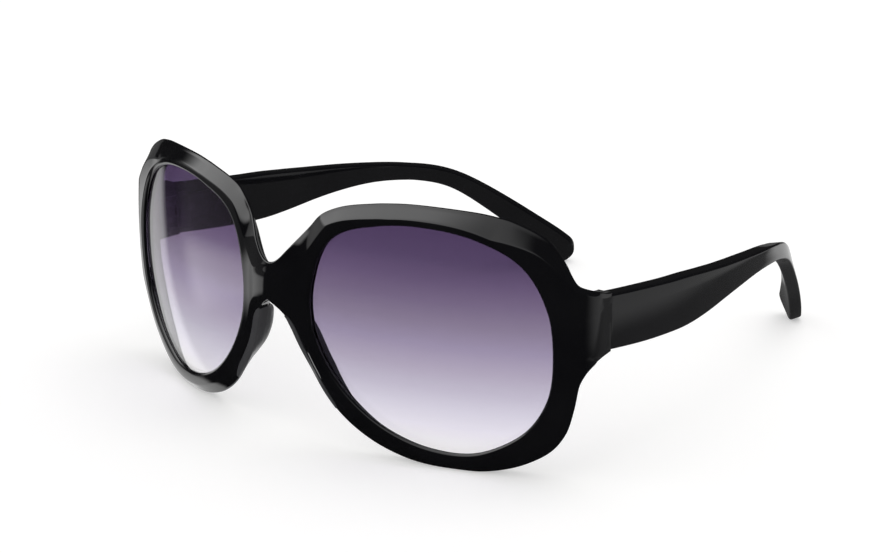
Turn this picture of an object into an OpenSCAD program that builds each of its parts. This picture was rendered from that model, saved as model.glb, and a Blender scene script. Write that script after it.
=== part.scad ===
// Oversize wrap sunglasses with two folding temples, resting on the rims and the temple tips.
// The right half (+X) is described, and the left half mirrors it across the YZ plane.
// A place on the front is given by u, the distance from the middle along the curved front,
// by z, the height above the table, and by t, the depth behind the front surface.

/* [Lenses] */
// Width of a lens opening, measured along the curved front
lens_w = 58; // [52:0.5:62]
// Height of a lens opening
lens_h = 52; // [46:0.5:56]
// Thickness of a lens
lens_t = 1.8; // [1.6:0.1:2]
// Depth of the lens face behind the rim's front edge
lens_recess = 1.1; // [0.9:0.1:1.3]
// Depth that a lens reaches into its groove
groove_d = 1; // [0.6:0.1:1.2]
// Clearance between a lens and its groove
lens_clearance = 0.06; // [0.03:0.01:0.12]

/* [Front] */
// Width of the bridge between the two lens openings, measured at mid-height
bridge_w = 20.6; // [18:0.2:24]
// Usual width of a rim
rim_w = 5; // [4.4:0.1:5.6]
// Usual depth of a rim, from its front edge to its back
rim_d = 4; // [3.8:0.1:4.6]
// Depth of the sloping face along the top of the rims
bevel_d = 1.6; // [1:0.1:1.9]
// Radius of the front's curve, seen from above
wrap_r = 116; // [100:2:140]
// Radius of the front's curve, seen from the side
crown_r = 138; // [120:2:170]
// Height on which the side curve is centred
crown_z = 29; // [25:1:33]
// Lean of the front's top towards the viewer, in degrees
front_lean = 1.5; // [0:0.5:4]
// Half of the front's curved stretch, from the middle to where it runs straight
arc_half_w = 58; // [54:0.5:60]
// Distance along the front from its middle to the side corner
corner_half_w = 69.25; // [68.25:0.25:71]
// How far the bridge swells towards the viewer
bridge_bulge = 2; // [0:0.1:3]
// Half of the width of that swelling
bulge_half_w = 10; // [8:0.5:10]
// Outer radius of the side corner
corner_r = 7.5; // [6.8:0.1:9]
// Height of the table-side flat under the rims, above the lowest point of their outline
rest_flat = 0.2; // [0.1:0.05:0.4]
// Distance from the bridge's front to the plane where the temples meet the front
joint_y = 31.8; // [31:0.1:33]

/* [Temples] */
// Length of a temple along its curve
temple_l = 133; // [126:0.5:140]
// Thickness of a temple
temple_t = 3.7; // [3.2:0.1:4.2]
// Thickness of a temple at its tip
temple_tip_t = 3.2; // [2.6:0.1:3.8]
// Height of a temple where it meets the front
temple_h = 12.2; // [10.6:0.2:13]
// Height of the narrow part of a temple
temple_neck_h = 4; // [3.6:0.2:5.4]
// Width of the paddle at a temple's tip
temple_tip_h = 8.2; // [6:0.2:9]
// Rounding of a temple's long edges
temple_edge_r = 0.6; // [0.3:0.1:1.2]
// Gap at the joint between a temple and the front
joint_gap = 0.06; // [0.03:0.01:0.12]

/* [Nose pads] */
// How far a nose pad stands out behind the rim
pad_reach = 3; // [2.4:0.1:4]
// Thickness of a nose pad at its free edge
pad_edge_w = 2.2; // [1.8:0.1:3]
// Gap of the glue line between a nose pad and the rim
pad_gap = 0.08; // [0.08:0.01:0.12]

/* [Hinges] */
// Outer radius of the hinge barrels
barrel_r = 1.6; // [1.4:0.05:1.8]
// Total height of the three barrels of a hinge
barrel_h = 7.5; // [6.5:0.25:8.5]
// Gap between two neighbouring barrels
barrel_gap = 0.08; // [0.05:0.01:0.15]
// Radius of a hinge screw
screw_r = 0.65; // [0.55:0.05:0.75]
// Running clearance of a hinge screw in its barrels
screw_clearance = 0.05; // [0.03:0.01:0.08]
// Radius of a hinge screw's head
screw_head_r = 1.3; // [1.1:0.05:1.5]
// Height of a hinge screw's head
screw_head_h = 0.8; // [0.6:0.05:1]
// Width of a driver slot
slot_w = 0.35; // [0.25:0.05:0.45]
// Thickness of a hinge leaf
leaf_t = 1; // [0.8:0.05:1.2]
// Length of the front's hinge leaf
front_leaf_l = 5.4; // [4.8:0.1:5.6]
// Length of the temple's hinge leaf
temple_leaf_l = 10; // [9:0.25:12]
// Height of the temple's hinge leaf
temple_leaf_h = 6; // [5:0.25:6.5]
// Depth of the seats that the leaves lie in
seat_d = 0.35; // [0.25:0.05:0.5]
// Clearance around a leaf in its seat
seat_clearance = 0.1; // [0.05:0.05:0.2]
// Space between a barrel and the plastic beside it
barrel_clearance = 0.2; // [0.12:0.02:0.3]
// Width of the plastic around the front leaf's seat
boss_w = 0.8; // [0.6:0.1:1]
// Radius of a leaf screw's shank
rivet_r = 0.5; // [0.4:0.05:0.6]
// Radius of a leaf screw's countersunk head
rivet_head_r = 0.95; // [0.85:0.05:1.05]
// Length of a leaf screw below its leaf
rivet_l = 2.4; // [1.8:0.1:2.6]

/* [Hidden] */
$fn = 48;
// Overrun of every cut past the face it opens
over = lens_w / 20;

// Outline of a lens opening: shares of its half width and half height, every 22.5 degrees from its outer side
opening_shares = [
    1, 1.03, 1.055, 1.015, 1, 1.045, 1.125, 1.045,
    0.97, 0.905, 0.885, 0.915, 0.98, 1.05, 1.06, 1.025
];
// Width of the rim around the opening: angle in degrees, share of the usual rim width
end_top_angle = 15.2;
bridge_top_angle = 159.7;
bridge_bottom_angle = 172;
end_bottom_angle = 360.2;
top_rim_shares = [
    [end_top_angle, 4.5], [17, 3.4], [20.5, 2.6], [24, 2], [27, 1.62], [30, 1.5], [33.5, 1.45],
    [40, 1.44], [45, 1.45], [50, 1.38], [54, 1.31], [60, 1.22], [67, 1.07], [78, 0.88],
    [90, 0.8], [105, 0.81], [113, 0.87], [120, 0.94], [128, 1.04], [134, 1.12], [140, 1.12],
    [145, 1.21], [150, 1.38], [154, 1.57], [156, 1.685], [158, 1.86], [159, 2],
    [bridge_top_angle, 2.17]
];
bottom_rim_shares = [
    [bridge_bottom_angle, 2.1], [174.5, 1.57], [177, 1.29], [180, 1.17], [186, 1.05], [205, 0.95],
    [225, 0.98], [240, 0.88], [256, 0.7], [270, 0.52], [282, 0.46], [295, 0.56], [308, 0.8],
    [320, 1.05], [330, 1.12], [340, 1.1], [348.5, 1.12], [352, 1.24], [355.4, 1.5], [357.5, 1.85],
    [359, 2.35], [end_bottom_angle, 4.5]
];
// Depth of the rim along the front: share of the front's half length, share of the usual rim depth
depth_shares = [[0, 0.85], [0.2, 0.97], [0.55, 1], [0.74, 1.3], [0.84, 1.25], [0.91, 1], [1, 0.97]];
// Depth of the sloping front face around a lens: angle in degrees, share of the bevel depth
bevel_shares = [
    [0, 0.05], [end_top_angle, 0.05], [20, 0.1], [25, 0.3], [33, 0.7], [45, 0.95], [60, 1], [128, 1],
    [134, 0.75], [140, 0.78], [145, 0.6], [150, 0.34], [154, 0.28], [bridge_top_angle, 0.28],
    [163.5, 0], [168.5, 0], [bridge_bottom_angle, 0.1], [175, 0.45], [179, 0.75], [184, 0.85],
    [200, 0.75], [215, 0.5], [235, 0.45], [270, 0.4], [330, 0.45], [348, 0.25],
    [end_bottom_angle, 0.05], [end_top_angle + 360, 0.05]
];
// Where the sloping face starts: angle in degrees, share of the rim's width
crest_shares = [
    [0, 0.9], [43, 0.9], [49, 0.55], [56, 0.36], [63, 0.24], [80, 0.15], [88, 0.16], [106, 0.35],
    [112, 0.4], [122, 0.46], [131, 0.5], [137, 0.44], [145, 0.42], [152, 0.43],
    [bridge_top_angle, 0.48], [bridge_bottom_angle, 0.48], [190, 0.48], [230, 0.45], [330, 0.42],
    [342, 0.6], [353, 0.9], [end_top_angle + 360, 0.9]
];
// Reach of the rounded front lip over a lens: angle in degrees, share of the lens recess
lip_shares = [
    [0, 0.5], [60, 0.4], [120, 0.4], [180, 0.5], [222, 0.8], [245, 1.1], [265, 1.5], [286, 1.8],
    [304, 1.9], [322, 1.2], [340, 0.6], [end_top_angle + 360, 0.5]
];
// Inner edge rounding of the rim, as a share of the lens recess
inner_edge_share = 0.6;
// Points of the section from the lens to the crest, from there to the outer edge, and across the back
inner_point_shares = [0.5, 1];
outer_point_shares = [0.35, 0.7];
back_point_shares = [0.84, 0.52, 0.2];
// Narrowing of the rim towards its back: angle in degrees, share of the usual rim width
back_taper_shares = [
    [end_top_angle, 0], [20, 0.04], [30, 0.2], [45, 0.34], [100, 0.36], [125, 0.44], [145, 0.5],
    [154, 0.5], [bridge_top_angle, 0.4], [bridge_bottom_angle, 0], [196, 0.02], [205, 0.2],
    [213, 0.36], [232, 0.38], [248, 0.26], [265, 0.2], [300, 0.25], [340, 0.2], [352, 0.08],
    [end_bottom_angle, 0]
];
// Where the narrowing starts, as a share of the depth behind the sloping face
outer_wall_share = 0.1;

// Rings of the front around each lens: start angle in degrees, rings up to the next start
ring_counts = [
    [end_top_angle, 8], [33, 20], [140, 5], [151, 6], [bridge_top_angle, 3],
    [bridge_bottom_angle, 5], [186, 32], [345, 8], [end_bottom_angle, 5], [end_top_angle + 360, 0]
];
// Half of the stretch, in degrees, that gives the outline's direction
slope_angle = 0.25;

lens_hw = lens_w / 2;
lens_hh = lens_h / 2;
lens_u = bridge_w / 2 + lens_hw * opening_shares[8];
lean = tan(front_lean);
end_heading = 100;
wrap_angle = arc_half_w / wrap_r * 180 / PI;
corner_end_u = corner_half_w + corner_r * (end_heading - wrap_angle) * PI / 180;
end_u = corner_end_u + corner_r;

// Smooth curve through a table of [place, value], with slopes from the neighbouring points
function slope_at(table, i) =
    let (a = max(i - 1, 0), b = min(i + 1, len(table) - 1))
    (table[b][1] - table[a][1]) / (table[b][0] - table[a][0]);
function curve(table, x, i = 0) =
    i < len(table) - 2 && x > table[i + 1][0] ? curve(table, x, i + 1) :
    let (w = table[i + 1][0] - table[i][0], s = (x - table[i][0]) / w)
    table[i][1] * (1 + 2 * s) * (1 - s) * (1 - s) + slope_at(table, i) * w * s * (1 - s) * (1 - s)
    + table[i + 1][1] * s * s * (3 - 2 * s) + slope_at(table, i + 1) * w * s * s * (s - 1);

// Share of the opening's half sizes at an angle, on a closed smooth curve
function opening_share(a) =
    let (
        n = len(opening_shares),
        x = a / 360 * n,
        i = floor(x),
        s = x - i,
        p = [for (k = [-1:2]) opening_shares[(i + k + n) % n]],
        bend = 2 * p[0] - 5 * p[1] + 4 * p[2] - p[3],
        twist = 3 * (p[1] - p[2]) + p[3] - p[0]
    )
    p[1] + s * (p[2] - p[0] + s * (bend + s * twist)) / 2;

// Point on the outline of the opening, moved outwards, as seen from the lens centre
function around_lens(a, out) =
    [
        (lens_hw * opening_share(a) + out) * cos(a),
        (lens_hh * opening_share(a) + out) * sin(a)
    ];
function free_rim_width(a) =
    rim_w * (a < bridge_bottom_angle ? curve(top_rim_shares, a) : curve(bottom_rim_shares, a));
// Height of the lens centre, from which the rim's lowest point reaches just below the table
lens_z = -rest_flat - min([for (a = [250:2:300]) around_lens(a, free_rim_width(a))[1]]);
function opening(a, out) = [lens_u, lens_z] + around_lens(a, out);
function is_clipped(a) =
    (a >= bridge_top_angle && a <= bridge_bottom_angle) || a >= end_bottom_angle || a <= end_top_angle;
function clip_width(a) = ((cos(a) < 0 ? 0 : end_u) - opening(a, 0)[0]) / cos(a);
function rim_width(a) = is_clipped(a) ? clip_width(a) : free_rim_width(a);
function outline(a) = opening(a, rim_width(a));
function rim_depth(u) = rim_d * curve(depth_shares, u / end_u);

// Direction at right angles to the free outline, into the rim
function inward(a) =
    let (
        low = a < bridge_bottom_angle ? end_top_angle : bridge_bottom_angle,
        high = a < bridge_bottom_angle ? bridge_top_angle : end_bottom_angle,
        from = max(a - slope_angle, low),
        to = min(a + slope_angle, high),
        run = opening(to, free_rim_width(to)) - opening(from, free_rim_width(from))
    )
    [-run[1], run[0]] / norm(run);
// Outer edge of the back, which is narrower than the front except at the end piece
bridge_top_z = opening(bridge_top_angle, clip_width(bridge_top_angle))[1];
bridge_bottom_z = opening(bridge_bottom_angle, clip_width(bridge_bottom_angle))[1];
bridge_taper = rim_w * curve(back_taper_shares, bridge_top_angle);
function back_edge(a) =
    a >= bridge_top_angle && a <= bridge_bottom_angle ?
        let (share = (outline(a)[1] - bridge_bottom_z) / (bridge_top_z - bridge_bottom_z))
        [0, bridge_bottom_z + share * (bridge_top_z - bridge_taper - bridge_bottom_z)] :
    is_clipped(a) ? outline(a) : outline(a) + rim_w * curve(back_taper_shares, a) * inward(a);

// Plan of the front: an arc over the lenses, a straight stretch, the side corner and the end piece
wrap_end = wrap_r * [sin(wrap_angle), 1 - cos(wrap_angle)];
corner_start = wrap_end + (corner_half_w - arc_half_w) * [cos(wrap_angle), sin(wrap_angle)];
corner_end = corner_start
    + corner_r * [sin(end_heading) - sin(wrap_angle), cos(wrap_angle) - cos(end_heading)];
function heading(u) =
    u < arc_half_w ? u / wrap_r * 180 / PI :
    u < corner_half_w ? wrap_angle :
    u < corner_end_u ? wrap_angle + (u - corner_half_w) / corner_r * 180 / PI : end_heading;
function plan(u) =
    let (h = heading(u))
    u < arc_half_w ? wrap_r * [sin(h), 1 - cos(h)] :
    u < corner_half_w ? wrap_end + (u - arc_half_w) * [cos(h), sin(h)] :
    u < corner_end_u ? corner_start + corner_r * [sin(h) - sin(wrap_angle), cos(wrap_angle) - cos(h)] :
    corner_end + (u - corner_end_u) * [cos(h), sin(h)];
function crown_y(z) = pow(z - crown_z, 2) / (2 * crown_r) - lean * (z - crown_z);
function bulge(u) = bridge_bulge * pow(max(0, 1 - pow(u / bulge_half_w, 2)), 2);
function on_front(uz, t) =
    let (p = plan(uz[0]), h = heading(uz[0]))
    [p[0] - t * sin(h), p[1] + t * cos(h) + crown_y(uz[1]) - bulge(uz[0]), uz[1]];

// Section of the rim at an angle: front lip, front, outer edge, back, inner edge and lens groove
function rim_ring(a) =
    let (
        w = rim_width(a),
        slope_d = bevel_d * curve(bevel_shares, a),
        edge = lens_recess * inner_edge_share,
        lip = lens_recess * curve(lip_shares, a),
        crest = max(w * curve(crest_shares, a), 2 * edge),
        groove_front = lens_recess - lens_clearance,
        groove_back = lens_recess + lens_t + lens_clearance,
        outer = outline(a),
        inner = opening(a, 0),
        back_outer = back_edge(a),
        back = rim_depth(outer[0]),
        inner_back = rim_depth(inner[0])
    )
    concat(
        [on_front(opening(a, -lip), groove_front)],
        [on_front(opening(a, edge - (lip + edge) * sin(45)), groove_front * (1 - cos(45)))],
        [on_front(opening(a, edge), 0)],
        [for (s = inner_point_shares) on_front(opening(a, edge + s * (crest - edge)), 0)],
        [for (s = outer_point_shares) on_front(opening(a, crest + s * (w - crest)), s * slope_d)],
        [on_front(outer, slope_d), on_front(outer, slope_d + (back - slope_d) * outer_wall_share)],
        [on_front(back_outer, back)],
        [
            for (s = back_point_shares)
            let (p = inner + s * (back_outer - inner))
            on_front(p, rim_depth(p[0]))
        ],
        [on_front(opening(a, edge), rim_depth(opening(a, edge)[0])), on_front(inner, inner_back - edge)],
        [on_front(inner, groove_back), on_front(opening(a, groove_d), groove_back)],
        [on_front(opening(a, groove_d), groove_front)]
    );

function steps(from, to, n) = [for (i = [0:n - 1]) from + (to - from) * i / n];
rim_angles = [
    for (i = [0:len(ring_counts) - 2])
    let (from = ring_counts[i][0], to = ring_counts[i + 1][0])
    for (a = steps(from, to, ring_counts[i][1])) a
];
rim_rings = [for (a = rim_angles) rim_ring(a)];

// Triangles between rings of m points each: around n rings, closed or open
function skin_faces(n, m, closed) = [
    for (i = [0:(closed ? n : n - 1) - 1], j = [0:m - 1], half = [0, 1])
    let (k = (i + 1) % n, l = (j + 1) % m)
    half == 0 ? [i * m + j, k * m + l, i * m + l] : [i * m + j, k * m + j, k * m + l]
];
function flat(lists) = [for (l = lists, p = l) p];
module closed_skin(rings) {
    polyhedron(flat(rings), skin_faces(len(rings), len(rings[0]), true));
}
// Skin with open rings, whose two ends are closed by fans around their middles
function sum(v, i = 0) = i < len(v) ? v[i] + sum(v, i + 1) : 0;
function middle(ring) = [for (c = [0:2]) sum([for (p = ring) p[c]]) / len(ring)];
module open_skin(rings) {
    n = len(rings);
    m = len(rings[0]);
    points = concat(flat(rings), [middle(rings[0]), middle(rings[n - 1])]);
    first_cap = [for (j = [0:m - 1]) [n * m, j, (j + 1) % m]];
    last_cap = [for (j = [0:m - 1]) [n * m + 1, (n - 1) * m + (j + 1) % m, (n - 1) * m + j]];
    polyhedron(points, concat(skin_faces(n, m, false), first_cap, last_cap));
}

// Joint of the right temple: its outer face meets the end piece's outer face
joint_z = (opening(end_top_angle, clip_width(end_top_angle))[1]
    + opening(end_bottom_angle, clip_width(end_bottom_angle))[1]) / 2;
end_run = (joint_y - corner_end[1] - crown_y(joint_z)) / sin(end_heading);
joint_x = corner_end[0] + end_run * cos(end_heading);

// Path of a temple: inward turn and downward pitch in degrees at shares of its length
turn_shares = [[0, 1], [0.2, 3.4], [0.4, 10], [0.55, 17], [0.7, 24.5], [0.85, 28], [1, 37]];
pitch_shares = [
    [0, 7], [0.15, 4.1], [0.3, -1], [0.42, 1], [0.52, 6], [0.62, 14], [0.72, 31.5], [0.85, 37],
    [1, 42.5]
];
// Where a temple is narrowest, as a share of its length
neck_place = 0.58;
// Height of a temple at shares of its length: share of the way from the neck to the joint, or to the tip
taper_shares = [
    [0, 1], [0.1, 1.01], [0.16, 0.98], [0.22, 0.93], [0.28, 0.75], [0.34, 0.52], [0.4, 0.325],
    [0.48, 0.12], [neck_place, 0]
];
paddle_shares = [[neck_place, 0], [0.68, 0.08], [0.78, 0.32], [0.88, 0.6], [0.95, 0.95], [1, 1]];
// Change to the tip's thickness and twist at shares of a temple's length
tip_shares = [[0, 0], [0.5, 0], [0.65, 0.55], [0.8, 1], [1, 1]];
tip_twist = 21;
// Angle up to which the tip's end is rounded
tip_end_angle = 80;
temple_rings = 36;
tip_rings = 5;
// Stretch of the temple before the joint plane, which the plane cuts off
lead_in = barrel_r;
tip_r = temple_tip_h / 2;
swept_l = temple_l + lead_in - tip_r;
function length_share(i) = max(0, (i / temple_rings * swept_l - lead_in) / temple_l);
function path_direction(s) =
    let (turn = curve(turn_shares, s), pitch = curve(pitch_shares, s))
    [-sin(turn) * cos(pitch), cos(turn) * cos(pitch), -sin(pitch)];
function temple_height(s) =
    s < neck_place ? temple_neck_h + (temple_h - temple_neck_h) * curve(taper_shares, s) :
    temple_neck_h + (temple_tip_h - temple_neck_h) * curve(paddle_shares, s);
function temple_thickness(s) = temple_t + (temple_tip_t - temple_t) * curve(tip_shares, s);
// Rectangle of half thickness t and half height h with rounded corners
function temple_section(t, h) =
    let (r = min(temple_edge_r, t, h), c = r * (1 - cos(45)))
    [
        [t, h - r], [t, r - h], [t - c, c - h], [t - r, -h], [r - t, -h], [c - t, c - h],
        [-t, r - h], [-t, h - r], [c - t, h - c], [r - t, h], [t - r, h], [t - c, h - c]
    ];
temple_path = [
    for (
        i = 0, p = [joint_x - temple_t / 2, joint_y, joint_z] - lead_in * path_direction(0);
        i <= temple_rings;
        p = p + path_direction(length_share(i + 0.5)) * swept_l / temple_rings, i = i + 1
    ) p
];
function temple_ring(p, s, size) =
    let (
        turn = curve(turn_shares, s),
        twist = tip_twist * curve(tip_shares, s),
        level = [cos(turn), sin(turn), 0],
        upright = cross(level, path_direction(s)),
        side = level * cos(twist) + upright * sin(twist),
        up = upright * cos(twist) - level * sin(twist)
    )
    [
        for (q = temple_section(sqrt(size) * temple_thickness(s) / 2, size * temple_height(s) / 2))
        p + side * q[0] + up * q[1]
    ];
free_temple_rings = concat(
    [for (i = [0:temple_rings]) temple_ring(temple_path[i], length_share(i), 1)],
    [
        for (i = [1:tip_rings])
        let (a = i / tip_rings * tip_end_angle)
        temple_ring(temple_path[temple_rings] + path_direction(1) * tip_r * sin(a), 1, cos(a))
    ]
);
// Drop of the tip that brings its lowest point just below the table, spread over the length
tip_drop = rest_flat + min([for (r = free_temple_rings, p = r) p[2]]);
temple_ring_list = [
    for (i = [0:len(free_temple_rings) - 1])
    [for (p = free_temple_rings[i]) p - [0, 0, tip_drop * pow(length_share(min(i, temple_rings)), 2)]]
];

// The origin lies midway between the front and the temple tips
front_y = min([for (r = rim_rings, p = r) p[1]]);
back_y = max([for (r = temple_ring_list, p = r) p[1]]);
module place(side) {
    translate([0, -(front_y + back_y) / 2, 0]) mirror([side < 0 ? 1 : 0, 0, 0]) children();
}
// Box between two corners
module block(a, b) {
    translate(a) cube(b - a);
}
// Rod along X from x = 0
module rod(r, l) {
    rotate([0, 90, 0]) cylinder(r = r, h = l);
}

// Hinge: its leaves lie on one seat plane, and its axis stands inward of the temple's end
seat_x = joint_x - rim_depth(end_u) + seat_d;
hinge_x = seat_x - seat_d - barrel_clearance - barrel_r;
hinge_z = joint_z;
barrel_each = (barrel_h - 2 * barrel_gap) / 3;
bore_r = screw_r + screw_clearance;
leaf_start = barrel_r + barrel_clearance;
front_rivets = [for (k = [-1, 1]) [joint_y - (front_leaf_l + leaf_start) / 2, hinge_z + k * barrel_h / 4]];
temple_rivets = [for (k = [0.25, 0.75]) [joint_y + leaf_start + k * (temple_leaf_l - leaf_start), hinge_z]];

module leaf_seat(length, height) {
    block(
        [hinge_x - barrel_r - barrel_clearance, joint_y - (length > 0 ? length + seat_clearance : over),
            hinge_z - height / 2 - seat_clearance],
        [seat_x, joint_y + (length > 0 ? over : seat_clearance - length),
            hinge_z + height / 2 + seat_clearance]
    );
}
module rivet_holes(places) {
    for (p = places) {
        translate([seat_x - over, p[0], p[1]]) rod(rivet_r + screw_clearance, over + rivet_l + seat_d);
    }
}
module rivets(places) {
    for (p = places) {
        translate([seat_x - leaf_t, p[0], p[1]]) difference() {
            union() {
                rod(rivet_r, leaf_t + rivet_l);
                rotate([0, 90, 0]) cylinder(r1 = rivet_head_r, r2 = rivet_r, h = rivet_head_r - rivet_r);
            }
            block([-over, -slot_w / 2, -rivet_head_r], [slot_w / 2, slot_w / 2, rivet_head_r]);
        }
    }
}
// Leaf with countersunk holes; its barrels span the given heights above the hinge's middle
module hinge_leaf(y_from, y_to, height, arm_to, barrels, places) {
    difference() {
        union() {
            block(
                [seat_x - leaf_t, min(y_from, y_to), hinge_z - height / 2],
                [seat_x, max(y_from, y_to), hinge_z + height / 2]
            );
            for (b = barrels) {
                block(
                    [seat_x - leaf_t, min(y_from, joint_y), hinge_z + b],
                    [seat_x - seat_d, max(y_from, joint_y), hinge_z + b + barrel_each]
                );
                translate([hinge_x, joint_y, hinge_z + b]) cylinder(r = barrel_r, h = barrel_each);
            }
        }
        translate([hinge_x, joint_y, hinge_z - barrel_h]) cylinder(r = bore_r, h = 2 * barrel_h);
        for (p = places) {
            translate([seat_x - leaf_t, p[0], p[1]]) {
                translate([-over, 0, 0]) rod(rivet_r + screw_clearance, over + leaf_t + over);
                rotate([0, 90, 0]) cylinder(
                    r1 = rivet_head_r + screw_clearance,
                    r2 = rivet_r + screw_clearance,
                    h = rivet_head_r - rivet_r
                );
            }
        }
    }
}

module front_half() {
    closed_skin(rim_rings);
}
// Thickening of the end piece that brings its inner face in line with the front leaf
module hinge_boss() {
    block(
        [seat_x - seat_d, joint_y - front_leaf_l - boss_w, hinge_z - barrel_h / 2 - boss_w],
        [seat_x + leaf_t, joint_y, hinge_z + barrel_h / 2 + boss_w]
    );
}
module front_frame() {
    color([0.03, 0.03, 0.035]) place(1) difference() {
        union() {
            front_half();
            mirror([1, 0, 0]) front_half();
            for (m = [0, 1]) mirror([m, 0, 0]) hinge_boss();
        }
        block([-2 * lens_w, joint_y, -over], [2 * lens_w, joint_y + 2 * lens_w, 2 * lens_h]);
        block([-2 * lens_w, front_y - over, -lens_h], [2 * lens_w, joint_y + over, 0]);
        for (m = [0, 1]) mirror([m, 0, 0]) {
            leaf_seat(front_leaf_l, barrel_h);
            rivet_holes(front_rivets);
        }
    }
}

// Lens: shares of its reach that carry a ring of points, on both faces
lens_ring_shares = [0.35, 0.7, 1];
function lens_point(a, share, t) =
    on_front([lens_u, lens_z] + share * around_lens(a, groove_d - lens_clearance), t);
module lens_shell() {
    back_t = lens_recess + lens_t;
    rings = [
        for (a = rim_angles) concat(
            [for (q = lens_ring_shares) lens_point(a, q, lens_recess)],
            [for (k = [len(lens_ring_shares) - 1:-1:0]) lens_point(a, lens_ring_shares[k], back_t)]
        )
    ];
    n = len(rings);
    m = len(rings[0]);
    walls = [
        for (i = [0:n - 1], j = [0:m - 2], half = [0, 1])
        let (k = (i + 1) % n)
        half == 0 ? [i * m + j, k * m + j + 1, i * m + j + 1] : [i * m + j, k * m + j, k * m + j + 1]
    ];
    front_fan = [for (i = [0:n - 1]) [n * m, (i + 1) % n * m, i * m]];
    back_fan = [for (i = [0:n - 1]) [n * m + 1, i * m + m - 1, (i + 1) % n * m + m - 1]];
    poles = [lens_point(0, 0, lens_recess), lens_point(0, 0, back_t)];
    polyhedron(concat(flat(rings), poles), concat(walls, front_fan, back_fan));
}
module lens(side) {
    color([0.45, 0.4, 0.5, 0.6]) place(side) lens_shell();
}

// Nose pad: a fin behind the inner side of the rim, at angles around the lens
pad_reach_shares = [
    [177, 0.35], [179, 0.75], [182, 0.92], [187, 1], [193, 0.95], [202, 0.72], [212, 0.45],
    [222, 0.12]
];
pad_first_angle = pad_reach_shares[0][0];
pad_last_angle = pad_reach_shares[len(pad_reach_shares) - 1][0];
pad_rings = 12;
// Outer side of the free edge: angle in degrees, share of the rim's width
pad_edge_shares = [[177, 0.86], [188, 0.8], [197, 0.7], [205, 0.56], [212, 0.48], [222, 0.42]];
pad_root_share = 0.16;
// Points of a pad's sides: share of the way from the root to the free edge, and of the reach
pad_side_shares = [[0, 0], [0.12, 0.35], [0.75, 0.85]];
// Rounding of the free edge, as a share of its width
pad_round_share = 0.25;
function pad_section(a) =
    let (
        w = rim_width(a),
        reach = pad_reach * curve(pad_reach_shares, a),
        root = pad_gap + max([for (s = [0:0.25:1]) rim_depth(opening(a, s * w)[0])]),
        outer = w - rim_w * curve(back_taper_shares, a),
        inner = w * pad_root_share,
        edge_outer = w * curve(pad_edge_shares, a),
        edge_inner = max(inner, edge_outer - pad_edge_w),
        top_round = (edge_outer - edge_inner) * pad_round_share
    )
    concat(
        [for (p = pad_side_shares) [outer + (edge_outer - outer) * p[0], root + reach * p[1]]],
        [[edge_outer - top_round, root + reach], [edge_inner + top_round, root + reach]],
        [
            for (i = [len(pad_side_shares) - 1:-1:0])
            let (p = pad_side_shares[i])
            [inner + (edge_inner - inner) * p[0], root + reach * p[1]]
        ]
    );
module nose_pad(side) {
    color([0.07, 0.07, 0.08]) place(side) open_skin([
        for (i = [0:pad_rings])
        let (a = pad_first_angle + (pad_last_angle - pad_first_angle) * i / pad_rings)
        [for (p = pad_section(a)) on_front(opening(a, p[0]), p[1])]
    ]);
}

module temple(side) {
    color([0.03, 0.03, 0.035]) place(side) difference() {
        open_skin(temple_ring_list);
        block([0, joint_y - over, 0], [2 * lens_w, joint_y + joint_gap, 2 * lens_h]);
        block([0, joint_y, -lens_h], [2 * lens_w, 2 * back_y, 0]);
        leaf_seat(-temple_leaf_l, temple_leaf_h);
        rivet_holes(temple_rivets);
    }
}
module front_hinge_leaf(side) {
    color([0.75, 0.75, 0.77]) place(side) hinge_leaf(
        joint_y - leaf_start, joint_y - front_leaf_l, barrel_h, joint_y,
        [-barrel_h / 2, barrel_h / 2 - barrel_each], front_rivets
    );
}
module temple_hinge_leaf(side) {
    color([0.75, 0.75, 0.77]) place(side) hinge_leaf(
        joint_y + leaf_start, joint_y + temple_leaf_l, temple_leaf_h, joint_y,
        [-barrel_each / 2], temple_rivets
    );
}
module hinge_screw(side) {
    color([0.7, 0.7, 0.72]) place(side) translate([hinge_x, joint_y, hinge_z]) difference() {
        union() {
            translate([0, 0, -barrel_h / 2]) cylinder(r = screw_r, h = barrel_h + screw_head_h / 2);
            translate([0, 0, barrel_h / 2]) cylinder(r = screw_head_r, h = screw_head_h);
        }
        block(
            [-screw_head_r - over, -slot_w / 2, barrel_h / 2 + screw_head_h / 2],
            [screw_head_r + over, slot_w / 2, barrel_h / 2 + screw_head_h + over]
        );
    }
}
module front_leaf_screws(side) {
    color([0.7, 0.7, 0.72]) place(side) rivets(front_rivets);
}
module temple_leaf_screws(side) {
    color([0.7, 0.7, 0.72]) place(side) rivets(temple_rivets);
}

front_frame();
lens(-1);  // lens_left
lens(1);  // lens_right
nose_pad(-1);  // nose_pad_left
nose_pad(1);  // nose_pad_right
temple(-1);  // temple_left
temple(1);  // temple_right
front_hinge_leaf(-1);  // front_hinge_leaf_left
front_hinge_leaf(1);  // front_hinge_leaf_right
temple_hinge_leaf(-1);  // temple_hinge_leaf_left
temple_hinge_leaf(1);  // temple_hinge_leaf_right
hinge_screw(-1);  // hinge_screw_left
hinge_screw(1);  // hinge_screw_right
front_leaf_screws(-1);  // front_leaf_screws_left
front_leaf_screws(1);  // front_leaf_screws_right
temple_leaf_screws(-1);  // temple_leaf_screws_left
temple_leaf_screws(1);  // temple_leaf_screws_right
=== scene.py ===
"""Oversize wrap sunglasses: a glossy moulded front, two graded lenses and two folding temples."""
import math

import bmesh
import bpy
import numpy as np
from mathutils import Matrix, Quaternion, Vector


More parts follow.
